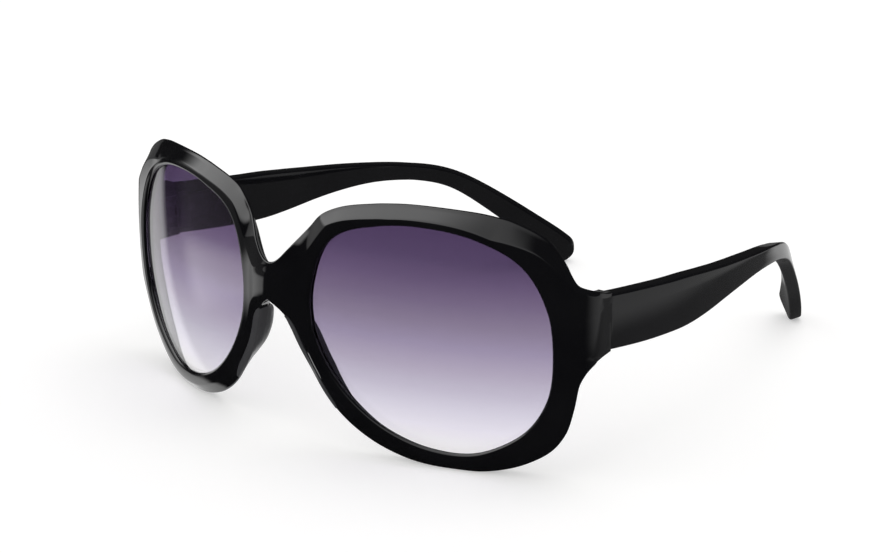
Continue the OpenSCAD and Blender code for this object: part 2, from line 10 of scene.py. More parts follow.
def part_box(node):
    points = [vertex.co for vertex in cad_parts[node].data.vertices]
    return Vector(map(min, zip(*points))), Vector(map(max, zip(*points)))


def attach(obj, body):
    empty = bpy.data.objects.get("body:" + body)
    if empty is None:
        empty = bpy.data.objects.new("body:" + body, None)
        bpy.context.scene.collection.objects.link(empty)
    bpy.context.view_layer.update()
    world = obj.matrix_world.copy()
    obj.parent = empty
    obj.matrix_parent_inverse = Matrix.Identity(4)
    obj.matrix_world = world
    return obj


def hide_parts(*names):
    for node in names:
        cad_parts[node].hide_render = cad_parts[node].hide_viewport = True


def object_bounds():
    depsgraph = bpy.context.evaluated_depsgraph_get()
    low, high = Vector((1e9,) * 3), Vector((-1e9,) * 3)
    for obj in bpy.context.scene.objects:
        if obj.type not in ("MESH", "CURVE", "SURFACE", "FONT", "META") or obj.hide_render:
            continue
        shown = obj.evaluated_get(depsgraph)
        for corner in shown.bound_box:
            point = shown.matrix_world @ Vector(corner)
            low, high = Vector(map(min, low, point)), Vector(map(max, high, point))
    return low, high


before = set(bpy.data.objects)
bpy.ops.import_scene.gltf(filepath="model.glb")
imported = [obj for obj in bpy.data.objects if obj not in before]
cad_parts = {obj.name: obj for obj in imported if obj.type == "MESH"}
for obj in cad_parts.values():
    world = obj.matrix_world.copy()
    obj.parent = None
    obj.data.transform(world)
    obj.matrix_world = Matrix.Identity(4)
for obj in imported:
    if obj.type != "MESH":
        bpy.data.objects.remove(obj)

CAD_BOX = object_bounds()
MM = 0.001

# Sizes in millimetres and angles in degrees, as in the CAD source
LENS_W, LENS_H, LENS_T, LENS_RECESS, GROOVE_D, LENS_CLEARANCE = 58, 52, 1.8, 1.1, 1, 0.06
BRIDGE_W, RIM_W, RIM_D, BEVEL_D = 20.6, 5, 4, 1.6
WRAP_R, CROWN_R, CROWN_Z, FRONT_LEAN, WRAP_U = 116, 138, 29, 1.5, 58
CORNER_U, CORNER_R, END_HEADING = 69.25, 7.5, 100
REST_FLAT, JOINT_Y, JOINT_GAP = 0.2, 31.8, 0.06
BRIDGE_BULGE, BULGE_HALF_W = 2, 10
TEMPLE_L, TEMPLE_T, TEMPLE_H, TEMPLE_NECK_H, TEMPLE_TIP_H = 133, 3.7, 12.2, 4, 8.2
TEMPLE_TIP_T, TEMPLE_EDGE_R, TIP_TWIST = 3.2, 0.6, 21
PAD_REACH, PAD_EDGE_W, PAD_GAP = 3, 2.2, 0.08
BARREL_R, BARREL_H, BARREL_CLEARANCE = 1.6, 7.5, 0.2
FRONT_LEAF_L, TEMPLE_LEAF_L, TEMPLE_LEAF_H = 5.4, 10, 6
SEAT_D, SEAT_CLEARANCE, LEAF_T, BOSS_W = 0.35, 0.1, 1, 0.8

# Shapes of the front, with the tables of the CAD source; near the end pieces BEVEL and CREST differ
# a little from it
OPENING_SHARES = [1, 1.03, 1.055, 1.015, 1, 1.045, 1.125, 1.045,
                  0.97, 0.905, 0.885, 0.915, 0.98, 1.05, 1.06, 1.025]
END_TOP, BRIDGE_TOP, BRIDGE_BOTTOM, END_BOTTOM = 15.2, 159.7, 172, 360.2
TOP_RIM = [[15.2, 4.5], [17, 3.4], [20.5, 2.6], [24, 2], [27, 1.62], [30, 1.5], [33.5, 1.45],
           [40, 1.44], [45, 1.45], [50, 1.38], [54, 1.31], [60, 1.22], [67, 1.07], [78, 0.88],
           [90, 0.8], [105, 0.81], [113, 0.87], [120, 0.94], [128, 1.04], [134, 1.12],
           [140, 1.12], [145, 1.21], [150, 1.38], [154, 1.57], [156, 1.685], [158, 1.86],
           [159, 2], [159.7, 2.17]]
BOTTOM_RIM = [[172, 2.1], [174.5, 1.57], [177, 1.29], [180, 1.17], [186, 1.05], [205, 0.95],
              [225, 0.98], [240, 0.88], [256, 0.7], [270, 0.52], [282, 0.46], [295, 0.56],
              [308, 0.8], [320, 1.05], [330, 1.12], [340, 1.1], [348.5, 1.12], [352, 1.24],
              [355.4, 1.5], [357.5, 1.85], [359, 2.35], [360.2, 4.5]]
DEPTH = [[0, 0.85], [0.2, 0.97], [0.55, 1], [0.74, 1.3], [0.84, 1.25], [0.91, 1], [1, 0.97]]
BEVEL = [[0, 0], [15.2, 0], [20, 0.08], [25, 0.3], [33, 0.7], [45, 0.95], [60, 1], [128, 1],
         [134, 0.75], [140, 0.78], [145, 0.6], [150, 0.34], [154, 0.28], [159.7, 0.28],
         [163.5, 0], [168.5, 0], [172, 0.1], [175, 0.45], [179, 0.75], [184, 0.85],
         [200, 0.75], [215, 0.5], [235, 0.45], [270, 0.4], [330, 0.45], [345, 0.25],
         [356, 0], [375.2, 0]]
CREST = [[0, 0.9], [26, 0.88], [36, 0.76], [46, 0.56], [56, 0.36], [63, 0.24], [80, 0.15], [88, 0.16],
         [106, 0.35], [112, 0.4], [122, 0.46], [131, 0.5], [137, 0.44], [145, 0.42],
         [152, 0.43], [159.7, 0.48], [172, 0.48], [190, 0.48], [230, 0.45], [330, 0.42],
         [342, 0.6], [353, 0.9], [375.2, 0.9]]
LIP = [[0, 0.5], [60, 0.4], [120, 0.4], [180, 0.5], [222, 0.8], [245, 1.1], [265, 1.5],
       [286, 1.8], [304, 1.9], [322, 1.2], [340, 0.6], [375.2, 0.5]]
TAPER = [[15.2, 0], [20, 0.04], [30, 0.2], [45, 0.34], [100, 0.36], [125, 0.44], [145, 0.5],
         [154, 0.5], [159.7, 0.4], [172, 0], [196, 0.02], [205, 0.2], [213, 0.36], [232, 0.38],
         [248, 0.26], [265, 0.2], [300, 0.25], [340, 0.2], [352, 0.08], [360.2, 0]]
WALL_SHARE, INNER_R = 0.1, 0.6 * LENS_RECESS

# Path and height of a temple, and reach of a nose pad, with the tables of the CAD source
TURN = [[0, 1], [0.2, 3.4], [0.4, 10], [0.55, 17], [0.7, 24.5], [0.85, 28], [1, 37]]
PITCH = [[0, 7], [0.15, 4.1], [0.3, -1], [0.42, 1], [0.52, 6], [0.62, 14], [0.72, 31.5],
         [0.85, 37], [1, 42.5]]
NECK_PLACE = 0.58
TAPER_H = [[0, 1], [0.1, 1.01], [0.16, 0.98], [0.22, 0.93], [0.28, 0.75], [0.34, 0.52],
           [0.4, 0.325], [0.48, 0.12], [0.58, 0]]
PADDLE_H = [[0.58, 0], [0.68, 0.08], [0.78, 0.32], [0.88, 0.6], [0.95, 0.95], [1, 1]]
TIP_SHARES = [[0, 0], [0.5, 0], [0.65, 0.55], [0.8, 1], [1, 1]]
PAD_SHARES = [[177, 0.35], [179, 0.75], [182, 0.92], [187, 1], [193, 0.95], [202, 0.72],
              [212, 0.45], [222, 0.12]]
PAD_EDGE = [[177, 0.86], [188, 0.8], [197, 0.7], [205, 0.56], [212, 0.48], [222, 0.42]]
PAD_ROOT = 0.16
PAD_SIDES = [(0, 0), (0.12, 0.35), (0.75, 0.85)]

# Roundings of the visual model, in millimetres and degrees, and how far a seat runs past its joint
EDGE_R, BACK_R, CREASE_W, JOINT_BEVEL, METAL_BEVEL = 0.35, 0.5, 0.3, 0.12, 0.06
METAL_BEVEL_ANGLE, SHARP_ANGLE = 40, 34
SEAT_OPEN = 3

# Fineness of the surfaces: distance of sections in millimetres, and numbers of them and of points
RING_STEP, STRAIGHT_RINGS, FLAT_POINTS, SLOPE_POINTS, TEMPLE_STEPS = 0.55, 26, 14, 5, 170

# Satin skin of a nose pad: its thickness, its share of the rim's slope, and the angles over which
# it grows at the pad's upper and lower end
SKIN_T, SKIN_SHARE, SKIN_GROWTH = 0.06, 0.55, (6, 12)


def curve(table, x):
    """Smooth curve through a table of places and values."""
    xs, ys = (np.array(c, float) for c in zip(*table))
    lo = np.maximum(np.arange(len(xs)) - 1, 0)
    hi = np.minimum(np.arange(len(xs)) + 1, len(xs) - 1)
    slope = (ys[hi] - ys[lo]) / (xs[hi] - xs[lo])
    x = np.asarray(x, float)
    i = np.clip(np.searchsorted(xs, x, side="left") - 1, 0, len(xs) - 2)
    w = xs[i + 1] - xs[i]
    s = (x - xs[i]) / w
    return (ys[i] * (1 + 2 * s) * (1 - s) ** 2 + slope[i] * w * s * (1 - s) ** 2
            + ys[i + 1] * s * s * (3 - 2 * s) + slope[i + 1] * w * s * s * (s - 1))


def opening_share(a):
    """Smooth closed curve through the shares of the lens opening, at an angle in degrees."""
    t = np.array(OPENING_SHARES)
    n = len(t)
    x = np.asarray(a, float) / 360 * n
    i = np.floor(x).astype(int)
    s = x - i
    p = [t[(i + k) % n] for k in (-1, 0, 1, 2)]
    bend = 2 * p[0] - 5 * p[1] + 4 * p[2] - p[3]
    twist = 3 * (p[1] - p[2]) + p[3] - p[0]
    return p[1] + s * (p[2] - p[0] + s * (bend + s * twist)) / 2


def around(a, out):
    """Place from the lens's middle at an angle, a distance out from the edge of the opening."""
    r = np.radians(a)
    k = opening_share(a)
    return (LENS_W / 2 * k + out) * np.cos(r), (LENS_H / 2 * k + out) * np.sin(r)


def free_width(a):
    """Width of the rim at an angle, where neither the bridge nor the end piece cuts it off."""
    a = np.asarray(a, float)
    return RIM_W * np.where(a < BRIDGE_BOTTOM, curve(TOP_RIM, a), curve(BOTTOM_RIM, a))


# Middle of the right lens: beside the bridge, and so high that the rim reaches REST_FLAT below the
# table, where it's cut flat
LENS_U = BRIDGE_W / 2 + LENS_W / 2 * OPENING_SHARES[8]
low_angles = np.arange(250, 301, 2)
LENS_Z = -REST_FLAT - around(low_angles, free_width(low_angles))[1].min()

# Plan of the front: a curved middle, a straight part, a round corner and a straight end piece
LEAN = math.tan(math.radians(FRONT_LEAN))
WRAP_A = WRAP_U / WRAP_R
END_A = math.radians(END_HEADING)
CORNER_END_U = CORNER_U + CORNER_R * (END_A - WRAP_A)
END_U = CORNER_END_U + CORNER_R
WRAP_END = (WRAP_R * math.sin(WRAP_A), WRAP_R * (1 - math.cos(WRAP_A)))
CORNER_START = (WRAP_END[0] + (CORNER_U - WRAP_U) * math.cos(WRAP_A),
                WRAP_END[1] + (CORNER_U - WRAP_U) * math.sin(WRAP_A))
CORNER_END = (CORNER_START[0] + CORNER_R * (math.sin(END_A) - math.sin(WRAP_A)),
              CORNER_START[1] + CORNER_R * (math.cos(WRAP_A) - math.cos(END_A)))
GROOVE_FRONT, GROOVE_BACK = LENS_RECESS - LENS_CLEARANCE, LENS_RECESS + LENS_T + LENS_CLEARANCE


def opening(a, out):
    """Place in the (u, z) plane of the front at an angle, a distance out from the opening."""
    u, z = around(a, out)
    return LENS_U + u, LENS_Z + z


def depth(u):
    """Depth of the front at u along it."""
    return RIM_D * curve(DEPTH, np.asarray(u) / END_U)


def crown(z):
    """How far back the front lies at a height, by its upright curve and its lean."""
    return (z - CROWN_Z) ** 2 / (2 * CROWN_R) - LEAN * (z - CROWN_Z)


def ray_end(a, edge_u):
    """Height at which a ray from the opening's edge, in the direction of its angle, meets edge_u."""
    u, z = opening(a, 0)
    return z + (edge_u - u) * math.tan(math.radians(a))


def on_front(u, z, t):
    """Place in design millimetres of a point at u along the front, z up and t behind it."""
    u, z, t = (np.asarray(v, float) for v in (u, z, t))
    parts = [u < WRAP_U, u < CORNER_U, u < CORNER_END_U]
    h = np.select(parts, [u / WRAP_R, WRAP_A, WRAP_A + (u - CORNER_U) / CORNER_R], END_A)
    x = np.select(parts, [WRAP_R * np.sin(h),
                          WRAP_END[0] + (u - WRAP_U) * math.cos(WRAP_A),
                          CORNER_START[0] + CORNER_R * (np.sin(h) - math.sin(WRAP_A))],
                  CORNER_END[0] + (u - CORNER_END_U) * math.cos(END_A))
    y = np.select(parts, [WRAP_R * (1 - np.cos(h)),
                          WRAP_END[1] + (u - WRAP_U) * math.sin(WRAP_A),
                          CORNER_START[1] + CORNER_R * (math.cos(WRAP_A) - np.cos(h))],
                  CORNER_END[1] + (u - CORNER_END_U) * math.sin(END_A))
    bulge = BRIDGE_BULGE * np.maximum(0, 1 - (u / BULGE_HALF_W) ** 2) ** 2
    return np.stack([x - t * np.sin(h), y + t * np.cos(h) + crown(z) - bulge, z], -1)


# Joint of a temple with the end piece
JOINT_Z = (ray_end(END_TOP, END_U) + ray_end(END_BOTTOM, END_U)) / 2
JOINT_X = (CORNER_END[0]
           + (JOINT_Y - CORNER_END[1] - crown(JOINT_Z)) / math.sin(END_A) * math.cos(END_A))
SEAT_X = JOINT_X - float(depth(END_U)) + SEAT_D
HINGE_X = SEAT_X - SEAT_D - BARREL_CLEARANCE - BARREL_R
# The CAD's joint plane gives the shift from design to row coordinates
SHIFT_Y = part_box("front_frame")[1].y / MM - JOINT_Y


def add_mesh(name, points, faces, smooth=True):
    """New object from points in design millimetres."""
    points = np.asarray(points, float) + np.array([0, SHIFT_Y, 0])
    mesh = bpy.data.meshes.new(name)
    mesh.from_pydata((points * MM).tolist(), [], [list(map(int, f)) for f in faces])
    mesh.validate()
    piece = bpy.data.objects.new(name, mesh)
    bpy.context.scene.collection.objects.link(piece)
    finish_shading(piece, smooth)
    return piece


def finish_shading(piece, smooth=True):
    """Faces turned outwards and shaded smooth, but for the edges that are sharp."""
    bm = bmesh.new()
    bm.from_mesh(piece.data)
    bmesh.ops.recalc_face_normals(bm, faces=bm.faces)
    for f in bm.faces:
        f.smooth = smooth
    for e in bm.edges:
        e.smooth = len(e.link_faces) == 2 and e.calc_face_angle(0) < math.radians(SHARP_ANGLE)
    bm.to_mesh(piece.data)
    bm.free()


def cut_below(piece, point, normal, bevel=0.0):
    """Cuts off what lies on the normal's side of a plane, given in design millimetres, and caps it."""
    co = Vector(point) + Vector((0, SHIFT_Y, 0))
    bm = bmesh.new()
    bm.from_mesh(piece.data)
    geom = bm.verts[:] + bm.edges[:] + bm.faces[:]
    cut = bmesh.ops.bisect_plane(bm, geom=geom, dist=1e-7, plane_co=co * MM,
                                 plane_no=Vector(normal), clear_outer=True)
    edges = [e for e in cut["geom_cut"] if isinstance(e, bmesh.types.BMEdge) and e.is_boundary]
    if edges:
        caps = bmesh.ops.contextual_create(bm, geom=edges)["faces"]
        for f in caps:
            f.smooth = False
        if bevel:
            rim = [e for f in caps for e in f.edges]
            bmesh.ops.bevel(bm, geom=rim, offset=bevel * MM, segments=2, profile=0.5,
                            affect="EDGES", clamp_overlap=True)
    bm.to_mesh(piece.data)
    bm.free()


def carve(piece, low, high, operation="DIFFERENCE"):
    """Cuts a block out of a piece, or joins it; its corners are in design millimetres."""
    x, y, z = zip(low, high)
    corners = [(x[i], y[j], z[k]) for i in (0, 1) for j in (0, 1) for k in (0, 1)]
    faces = [(0, 1, 3, 2), (4, 6, 7, 5), (0, 4, 5, 1), (2, 3, 7, 6), (0, 2, 6, 4), (1, 5, 7, 3)]
    block = add_mesh("block", corners, faces, smooth=False)
    step = piece.modifiers.new("block", "BOOLEAN")
    step.operation = operation
    step.solver = "EXACT"
    step.object = block
    graph = bpy.context.evaluated_depsgraph_get()
    mesh = bpy.data.meshes.new_from_object(piece.evaluated_get(graph))
    piece.modifiers.clear()
    piece.data = mesh
    bpy.data.objects.remove(block)


def both_sides(low, high):
    """The block between two corners on the right, and its mirror image on the left."""
    return ((low, high), ((-high[0], low[1], low[2]), (-low[0], high[1], high[2])))


def tube(grid, side, poles=None):
    """Points and faces of a row of rings with a fan over each end, on the right (1) or left (-1)."""
    n, m = grid.shape[:2]
    faces = [(i * m + j, (i + 1) * m + j, (i + 1) * m + (j + 1) % m, i * m + (j + 1) % m)
             for i in range(n - 1) for j in range(m)]
    points = list(grid.reshape(-1, 3))
    for i, pole in zip((0, n - 1), poles or (grid[0].mean(0), grid[-1].mean(0))):
        faces += [(i * m + j, i * m + (j + 1) % m, len(points)) for j in range(m)]
        points.append(pole)
    return np.array(points) * np.array([side, 1, 1]), faces


def bent(start, corner, end, w):
    """Place at share w of a quadratic curve that is drawn towards a corner."""
    return tuple(p * (1 - w) ** 2 + 2 * w * (1 - w) * c + q * w * w
                 for p, c, q in zip(start, corner, end))


# Front
def even_angles(a0, a1, step):
    """Angles that space the rim's outline evenly."""
    a = np.linspace(a0, a1, 1500)
    u, z = opening(a, free_width(a))
    run = np.concatenate([[0], np.cumsum(np.hypot(np.diff(u), np.diff(z)))])
    n = max(2, int(run[-1] / step))
    return np.interp(np.linspace(0, run[-1], n + 1), run, a)


def front_zones():
    """The zones of the front round the right lens, with the angles of their sections."""
    return (("top", even_angles(END_TOP, BRIDGE_TOP, RING_STEP)),
            ("bridge", np.linspace(BRIDGE_TOP, BRIDGE_BOTTOM, STRAIGHT_RINGS)[1:-1]),
            ("bottom", even_angles(BRIDGE_BOTTOM, END_BOTTOM, RING_STEP)),
            ("end", np.linspace(END_BOTTOM, END_TOP + 360, STRAIGHT_RINGS)[1:-1]))


def free_edge(zone, a):
    """Outline of the rim above or below the lens, and its inward normals in the (u, z) plane."""
    low, high = (END_TOP, BRIDGE_TOP) if zone == "top" else (BRIDGE_BOTTOM, END_BOTTOM)
    step = 0.05
    u, z = opening(a, free_width(a))
    a1, a2 = np.minimum(a + step, high), np.maximum(a - step, low)
    u1, z1 = opening(a1, free_width(a1))
    u2, z2 = opening(a2, free_width(a2))
    du, dz = u1 - u2, z1 - z2
    length = np.hypot(du, dz)
    nu, nz = -dz / length, du / length
    # On the plane of symmetry the normal is upright
    at_mid = a > BRIDGE_TOP - 1e-6 if zone == "top" else a < BRIDGE_BOTTOM + 1e-6
    return np.where(at_mid, 0, u), z, np.where(at_mid, 0, nu), np.where(at_mid, np.sign(nz), nz)


def inset(outline, distance):
    """Outline moved inwards along its normals."""
    u, z, nu, nz = outline
    return u + nu * distance, z + nz * distance


def straight_edge(zone, a):
    """Side of the bridge or the end piece: its u, and the heights of its front and its back."""
    if zone == "bridge":
        first, last, edge_u, sign = BRIDGE_TOP, BRIDGE_BOTTOM, 0, -1
        # The back of the bridge starts below its front, where the rim's back has narrowed
        drop = RIM_W * float(curve(TAPER, BRIDGE_TOP))
    else:
        first, last, edge_u, sign, drop = END_BOTTOM, END_TOP + 360, END_U, 1, 0
    start = ray_end(first, edge_u) + sign * EDGE_R
    end = ray_end(last, edge_u) - sign * EDGE_R
    share = (a - first) / (last - first)
    low = start - drop
    return np.full_like(a, edge_u), start + (end - start) * share, low + (end - low) * share


def lip_columns(a, edge, away):
    """Curved inner lip, from the lens out to the front face."""
    lip = LENS_RECESS * curve(LIP, a)
    cols = []
    for phi in np.radians([90, 80, 70, 60, 50, 40, 30, 20, 10]):
        q = INNER_R - (lip + INNER_R) * math.sin(phi)
        t = GROOVE_FRONT - GROOVE_FRONT * math.cos(phi)
        cols.append((edge[0] + q * away[0], edge[1] + q * away[1], np.full_like(a, t)))
    return cols


def face_columns(a, edge, outer, slope):
    """Front face out to the rim's edge: flat, then a soft crease at the crest, then a slope."""
    (u0, z0), (u1, z1) = edge, outer
    span = np.hypot(u1 - u0, z1 - z0)
    first = INNER_R / span
    crest = np.maximum(curve(CREST, a), 2 * INNER_R / span)
    soft = CREASE_W / np.maximum(span * (1 - crest), 0.5)
    shares = []
    flat_end = np.maximum(crest - soft * (1 - crest), first + 0.02)
    for j in range(FLAT_POINTS):
        shares.append((first + (flat_end - first) * (j / FLAT_POINTS), np.zeros_like(a)))
    for j, x in enumerate((-1, -0.5, 0, 0.5, 1)):
        s = np.maximum(crest + x * soft * (1 - crest), first + 0.02 + 0.004 * j)
        shares.append((s, (x * soft + soft) ** 2 / (4 * soft)))
    slope_start = np.maximum(crest + soft * (1 - crest), first + 0.06)
    for j in range(SLOPE_POINTS):
        s = slope_start + (1 - slope_start) * ((j + 1) / SLOPE_POINTS)
        shares.append((s, (s - crest) / (1 - crest)))
    return [(u0 + (u1 - u0) * s, z0 + (z1 - z0) * s, slope * np.minimum(f, 1)) for s, f in shares]


def free_side(a, outline, slope):
    """Outer side of the rim, rounded in front and at the back, and where the back face starts."""
    u, z, nu, nz = outline
    back = depth(u)
    wall_to = slope + (back - slope) * WALL_SHARE
    cols = [(*inset(outline, EDGE_R * (1 - math.sin(phi))), slope + EDGE_R * (1 - math.cos(phi)))
            for phi in np.radians([22.5, 45, 67.5, 90])]
    cols.append((u, z, np.maximum(wall_to, slope + EDGE_R * 1.3)))
    # The side narrows to the taper's width at the back
    tu, tz = inset(outline, RIM_W * curve(TAPER, a))
    du, dz, dt = u - tu, z - tz, wall_to - back
    k = BACK_R / np.sqrt(du ** 2 + dz ** 2 + dt ** 2)
    start = (tu + du * k, tz + dz * k, back + dt * k)
    end = (tu + nu * BACK_R, tz + nz * BACK_R, back)
    cols += [tuple(p + (q - p) * w for p, q in zip((u, z, wall_to), start)) for w in (0.35, 0.7)]
    cols += [bent(start, (tu, tz, back), end, w) for w in (0, 0.25, 0.5, 0.75, 1)]
    return cols, end[:2]


def straight_side(u, front_z, back_z, slope):
    """Side of the bridge or the end piece, and where the back face starts."""
    back = depth(u)
    cols = [(u, front_z + (back_z - front_z) * w, slope + (back - slope) * w)
            for w in np.linspace(0, 1, 13)[1:]]
    return cols, (u, back_z)


def back_columns(a, edge, away, start):
    """Back face with its rounded inner edge, and the groove that holds the lens."""
    (ou, oz), (cu, cz), (bu, bz) = edge, away, start
    cols = []
    for w in np.linspace(0.93, 0.14, 12):
        u = ou + (bu - ou) * w
        cols.append((u, oz + (bz - oz) * w, depth(u)))
    for phi in np.radians([0, 30, 60, 90]):
        q = INNER_R * (1 - math.sin(phi))
        u = ou + q * cu
        cols.append((u, oz + q * cz, depth(u) - INNER_R * (1 - math.cos(phi))))
    for q, t in ((0, GROOVE_BACK), (GROOVE_D, GROOVE_BACK), (GROOVE_D, GROOVE_FRONT)):
        cols.append((ou + q * cu, oz + q * cz, np.full_like(a, t)))
    return cols


def front_sections():
    """Sections round the right lens, their zones, and the first and last point of the outer side."""
    rings, zones = [], []
    for zone, a in front_zones():
        edge = opening(a, 0)
        away = np.cos(np.radians(a)), np.sin(np.radians(a))
        slope = BEVEL_D * curve(BEVEL, a)
        cols = lip_columns(a, edge, away)
        if zone in ("top", "bottom"):
            outline = free_edge(zone, a)
            cols += face_columns(a, edge, inset(outline, EDGE_R), slope)
            side, start = free_side(a, outline, slope)
        else:
            u, front_z, back_z = straight_edge(zone, a)
            cols += face_columns(a, edge, (u, front_z), slope)
            side, start = straight_side(u, front_z, back_z, slope)
        side_first = len(cols) - 1
        cols += side
        side_last = len(cols) - 1
        cols += back_columns(a, edge, away, start)
        rings.append(np.stack([on_front(*c) for c in cols], 1))
        zones += [zone] * len(a)
    return np.concatenate(rings), zones, side_first, side_last


def make_front():
    """The moulded front: both rims, the bridge and the end pieces."""
    points, zones, side_first, side_last = front_sections()
    n, m = points.shape[:2]
    faces = []
    for i in range(n):
        k = (i + 1) % n
        # The bridge is open on the plane of symmetry, where the halves are welded
        opened = "bridge" in (zones[i], zones[k])
        for j in range(m):
            if opened and side_first <= j < side_last:
                continue
            j2 = (j + 1) % m
            faces.append((i * m + j, k * m + j, k * m + j2, i * m + j2))
    right = points.reshape(-1, 3)
    left = right * np.array([-1, 1, 1])
    both = np.concatenate([right, left])
    both_faces = faces + [tuple(n * m + v for v in reversed(f)) for f in faces]
    piece = add_mesh("front", both, both_faces)
    bm = bmesh.new()
    bm.from_mesh(piece.data)
    bmesh.ops.remove_doubles(bm, verts=bm.verts, dist=2e-6)
    bm.to_mesh(piece.data)
    bm.free()
    cut_below(piece, (0, JOINT_Y, 0), (0, 1, 0), JOINT_BEVEL)
    cut_below(piece, (0, 0, 0), (0, 0, -1))
    boss = both_sides(
        (SEAT_X - SEAT_D, JOINT_Y - FRONT_LEAF_L - BOSS_W, JOINT_Z - BARREL_H / 2 - BOSS_W),
        (SEAT_X + LEAF_T, JOINT_Y, JOINT_Z + BARREL_H / 2 + BOSS_W))
    seat = both_sides(
        (HINGE_X - BARREL_R - BARREL_CLEARANCE, JOINT_Y - FRONT_LEAF_L - SEAT_CLEARANCE,
         JOINT_Z - BARREL_H / 2 - SEAT_CLEARANCE),
        (SEAT_X, JOINT_Y + SEAT_OPEN, JOINT_Z + BARREL_H / 2 + SEAT_CLEARANCE))
    for low, high in boss:
        carve(piece, low, high, "UNION")
    for low, high in seat:
        carve(piece, low, high)
    finish_shading(piece)
    return piece


# Lenses
def make_lens(name, side):
    """A meniscus lens whose edge lies in the rim's groove."""
    a = np.linspace(0, 360, 241)[:-1]
    shares = np.array([0.06, 0.14, 0.24, 0.36, 0.48, 0.6, 0.7, 0.8, 0.88, 0.94, 0.98, 1])
    du, dz = around(a, GROOVE_D - LENS_CLEARANCE)
    front_and_back = ((LENS_RECESS, shares), (LENS_RECESS + LENS_T, shares[::-1]))
    rings = [on_front(LENS_U + du * s, LENS_Z + dz * s, t)
             for t, order in front_and_back for s in order]
    poles = [on_front(LENS_U, LENS_Z, t) for t, _ in front_and_back]
    return add_mesh(name, *tube(np.stack(rings), side, poles))


# Temples
def temple_height(s):
    """Height of a temple at a share of its length: wide, then a neck, then a paddle at the tip."""
    wide = TEMPLE_NECK_H + (TEMPLE_H - TEMPLE_NECK_H) * curve(TAPER_H, s)
    paddle = TEMPLE_NECK_H + (TEMPLE_TIP_H - TEMPLE_NECK_H) * curve(PADDLE_H, s)
    return np.where(s < NECK_PLACE, wide, paddle)


def temple_direction(s):
    """Direction of the right temple's path at a share of its length."""
    turn, pitch = np.radians(curve(TURN, s)), np.radians(curve(PITCH, s))
    return np.stack([-np.sin(turn) * np.cos(pitch), np.cos(turn) * np.cos(pitch),
                     -np.sin(pitch)], -1)


def temple_path():
    """Places down the right temple, their shares of its length and the sizes of its sections."""
    lead, tip_r, n = BARREL_R, TEMPLE_TIP_H / 2, TEMPLE_STEPS
    swept = TEMPLE_L + lead - tip_r

    def share(i):
        return np.maximum(0, (np.asarray(i, float) / n * swept - lead) / TEMPLE_L)

    steps = temple_direction(share(np.arange(n) + 0.5)) * swept / n
    start = np.array([JOINT_X - TEMPLE_T / 2, JOINT_Y, JOINT_Z]) - lead * temple_direction(0.0)
    path = np.concatenate([[start], start + np.cumsum(steps, 0)])
    # The tip is rounded off
    fan = np.radians(np.linspace(0, 80, 12))[1:]
    path = np.concatenate([path, path[-1] + temple_direction(1.0) * tip_r * np.sin(fan)[:, None]])
    shares = np.concatenate([share(np.arange(n + 1)), np.ones(len(fan))])
    return path, shares, np.concatenate([np.ones(n + 1), np.cos(fan)])


def rounded_block(half_w, half_h, radius):
    """Section of a block with rounded edges, anticlockwise from its upper right corner."""
    corners = ((1, 1), (-1, 1), (-1, -1), (1, -1))

    def at(corner, phi):
        return (corner[0] * (half_w - radius) + radius * math.cos(phi),
                corner[1] * (half_h - radius) + radius * math.sin(phi))

    section = []
    for quarter, corner in enumerate(corners):
        arc = np.radians(np.linspace(0, 90, 7) + 90 * quarter)
        section += [at(corner, phi) for phi in arc]
        a, b = at(corner, arc[-1]), at(corners[(quarter + 1) % 4], arc[-1])
        section += [(a[0] + (b[0] - a[0]) * w, a[1] + (b[1] - a[1]) * w) for w in (0.25, 0.5, 0.75)]
    return section


def make_temple(name, side):
    """A temple swept along its path, with a flat outer face and rounded edges."""
    path, shares, sizes = temple_path()
    turn = np.radians(curve(TURN, shares))
    twist = np.radians(TIP_TWIST * curve(TIP_SHARES, shares))[:, None]
    level = np.stack([np.cos(turn), np.sin(turn), np.zeros_like(turn)], -1)
    upright = np.cross(level, temple_direction(shares))
    sideways = level * np.cos(twist) + upright * np.sin(twist)
    up = upright * np.cos(twist) - level * np.sin(twist)
    thickness = TEMPLE_T + (TEMPLE_TIP_T - TEMPLE_T) * curve(TIP_SHARES, shares)
    half_t = thickness / 2 * np.sqrt(sizes)
    half_h = temple_height(shares) / 2 * sizes
    radius = np.minimum(TEMPLE_EDGE_R, 0.98 * np.minimum(half_t, half_h))
    grid = np.stack([path + sideways * x[:, None] + up * y[:, None]
                     for x, y in rounded_block(half_t, half_h, radius)], 1)
    # The tip comes down to the table, where it's cut flat
    drop = REST_FLAT + grid[..., 2].min()
    grid[..., 2] -= drop * (np.minimum(shares, 1) ** 2)[:, None]
    piece = add_mesh(name, *tube(grid, side))
    cut_below(piece, (0, JOINT_Y + JOINT_GAP, 0), (0, -1, 0), JOINT_BEVEL)
    cut_below(piece, (0, 0, 0), (0, 0, -1))
    low = (HINGE_X - BARREL_R - BARREL_CLEARANCE, JOINT_Y - SEAT_OPEN,
           JOINT_Z - TEMPLE_LEAF_H / 2 - SEAT_CLEARANCE)
    high = (SEAT_X, JOINT_Y + TEMPLE_LEAF_L + SEAT_CLEARANCE,
            JOINT_Z + TEMPLE_LEAF_H / 2 + SEAT_CLEARANCE)
    carve(piece, *both_sides(low, high)[0 if side > 0 else 1])
    finish_shading(piece)
    return piece


